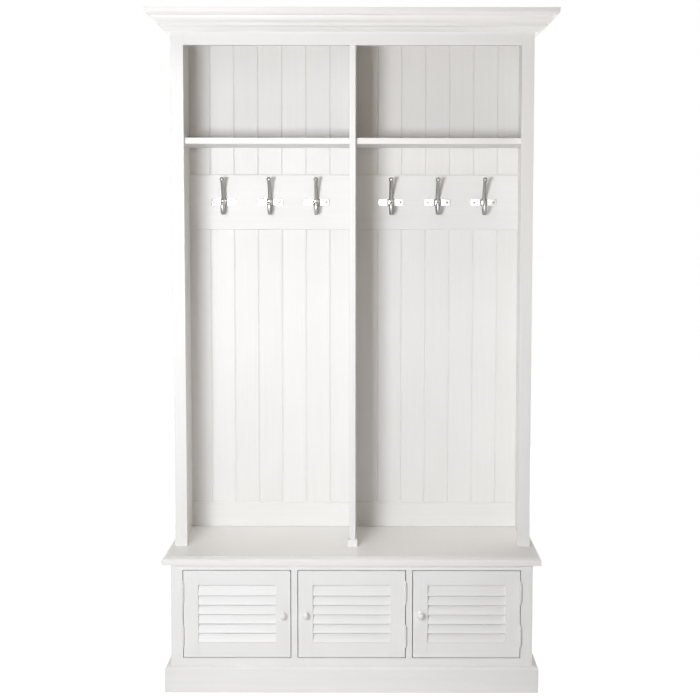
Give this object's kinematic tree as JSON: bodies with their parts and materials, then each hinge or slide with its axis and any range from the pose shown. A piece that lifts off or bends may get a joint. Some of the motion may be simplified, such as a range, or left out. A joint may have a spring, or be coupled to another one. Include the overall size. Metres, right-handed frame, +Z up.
{
  "type": "hall tree",
  "caption": "White painted hall tree: a bench cupboard with louvred hinged doors carries an open boarded hutch with coat hooks, shelves and a cornice.",
  "frame": {"origin": "on the floor, under the middle of the object's outline", "axes": "+X to the right as seen from the front, +Y from the front to the wall, +Z up"},
  "size_m": [1.25, 0.456, 2.08],
  "materials": {
    "white_paint": "satin white paint",
    "louvre_paint": "satin white paint",
    "knob_paint": "satin white paint",
    "hinge_metal": "white paint",
    "hook_metal": "polished",
    "catch_plastic": "matt",
    "strike_steel": "plain steel"
  },
  "bodies": {
    "stand": {"back_boards": "white_paint", "back_skirting_left": "white_paint", "back_skirting_right": "white_paint", "base_back_panel": "white_paint", "base_divider_left": "white_paint", "base_divider_right": "white_paint", "base_floor": "white_paint", "base_side_left": "white_paint", "base_side_right": "white_paint", "bench_top": "white_paint", "coat_hook_1": "hook_metal", "coat_hook_2": "hook_metal", "coat_hook_3": "hook_metal", "coat_hook_4": "hook_metal", "coat_hook_5": "hook_metal", "coat_hook_6": "hook_metal", "cornice_front": "white_paint", "cornice_left": "white_paint", "cornice_right": "white_paint", "frame_bottom_rail": "white_paint", "frame_mullions": "white_paint", "frame_stile_left": "white_paint", "frame_stile_right": "white_paint", "frame_top_rail": "white_paint", "frieze_rail": "white_paint", "hinge_frame_leaves": "hinge_metal", "hinge_pins": "hinge_metal", "hook_rail_left": "white_paint", "hook_rail_right": "white_paint", "hutch_partition": "white_paint", "hutch_side_left": "white_paint", "hutch_side_right": "white_paint", "hutch_stile_left": "white_paint", "hutch_stile_right": "white_paint", "hutch_top_board": "white_paint", "magnet_catches": "catch_plastic", "partition_foot": "white_paint", "plinth_front": "white_paint", "plinth_left": "white_paint", "plinth_right": "white_paint", "shelf_left": "white_paint", "shelf_right": "white_paint"},
    "door_left": {"door_left_hinge_leaves": "hinge_metal", "door_left_knob": "knob_paint", "door_left_louvres": "louvre_paint", "door_left_rails": "white_paint", "door_left_stiles": "white_paint", "door_left_strike": "strike_steel"},
    "door_centre": {"door_centre_hinge_leaves": "hinge_metal", "door_centre_knob": "knob_paint", "door_centre_louvres": "louvre_paint", "door_centre_rails": "white_paint", "door_centre_stiles": "white_paint", "door_centre_strike": "strike_steel"},
    "door_right": {"door_right_hinge_leaves": "hinge_metal", "door_right_knob": "knob_paint", "door_right_louvres": "louvre_paint", "door_right_rails": "white_paint", "door_right_stiles": "white_paint", "door_right_strike": "strike_steel"}
  },
  "joints": [
    {"name": "door_left_hinge", "type": "hinge", "parent": "stand", "child": "door_left", "pos_m": [-0.51535, -0.2044, 0.241], "axis": [0, 0, -1], "range_deg": [0, 170]},
    {"name": "door_centre_hinge", "type": "hinge", "parent": "stand", "child": "door_centre", "pos_m": [0.16468, -0.2044, 0.241], "axis": [0, 0, 1], "range_deg": [0, 145]},
    {"name": "door_right_hinge", "type": "hinge", "parent": "stand", "child": "door_right", "pos_m": [0.51535, -0.2044, 0.241], "axis": [0, 0, 1], "range_deg": [0, 170]}
  ]
}
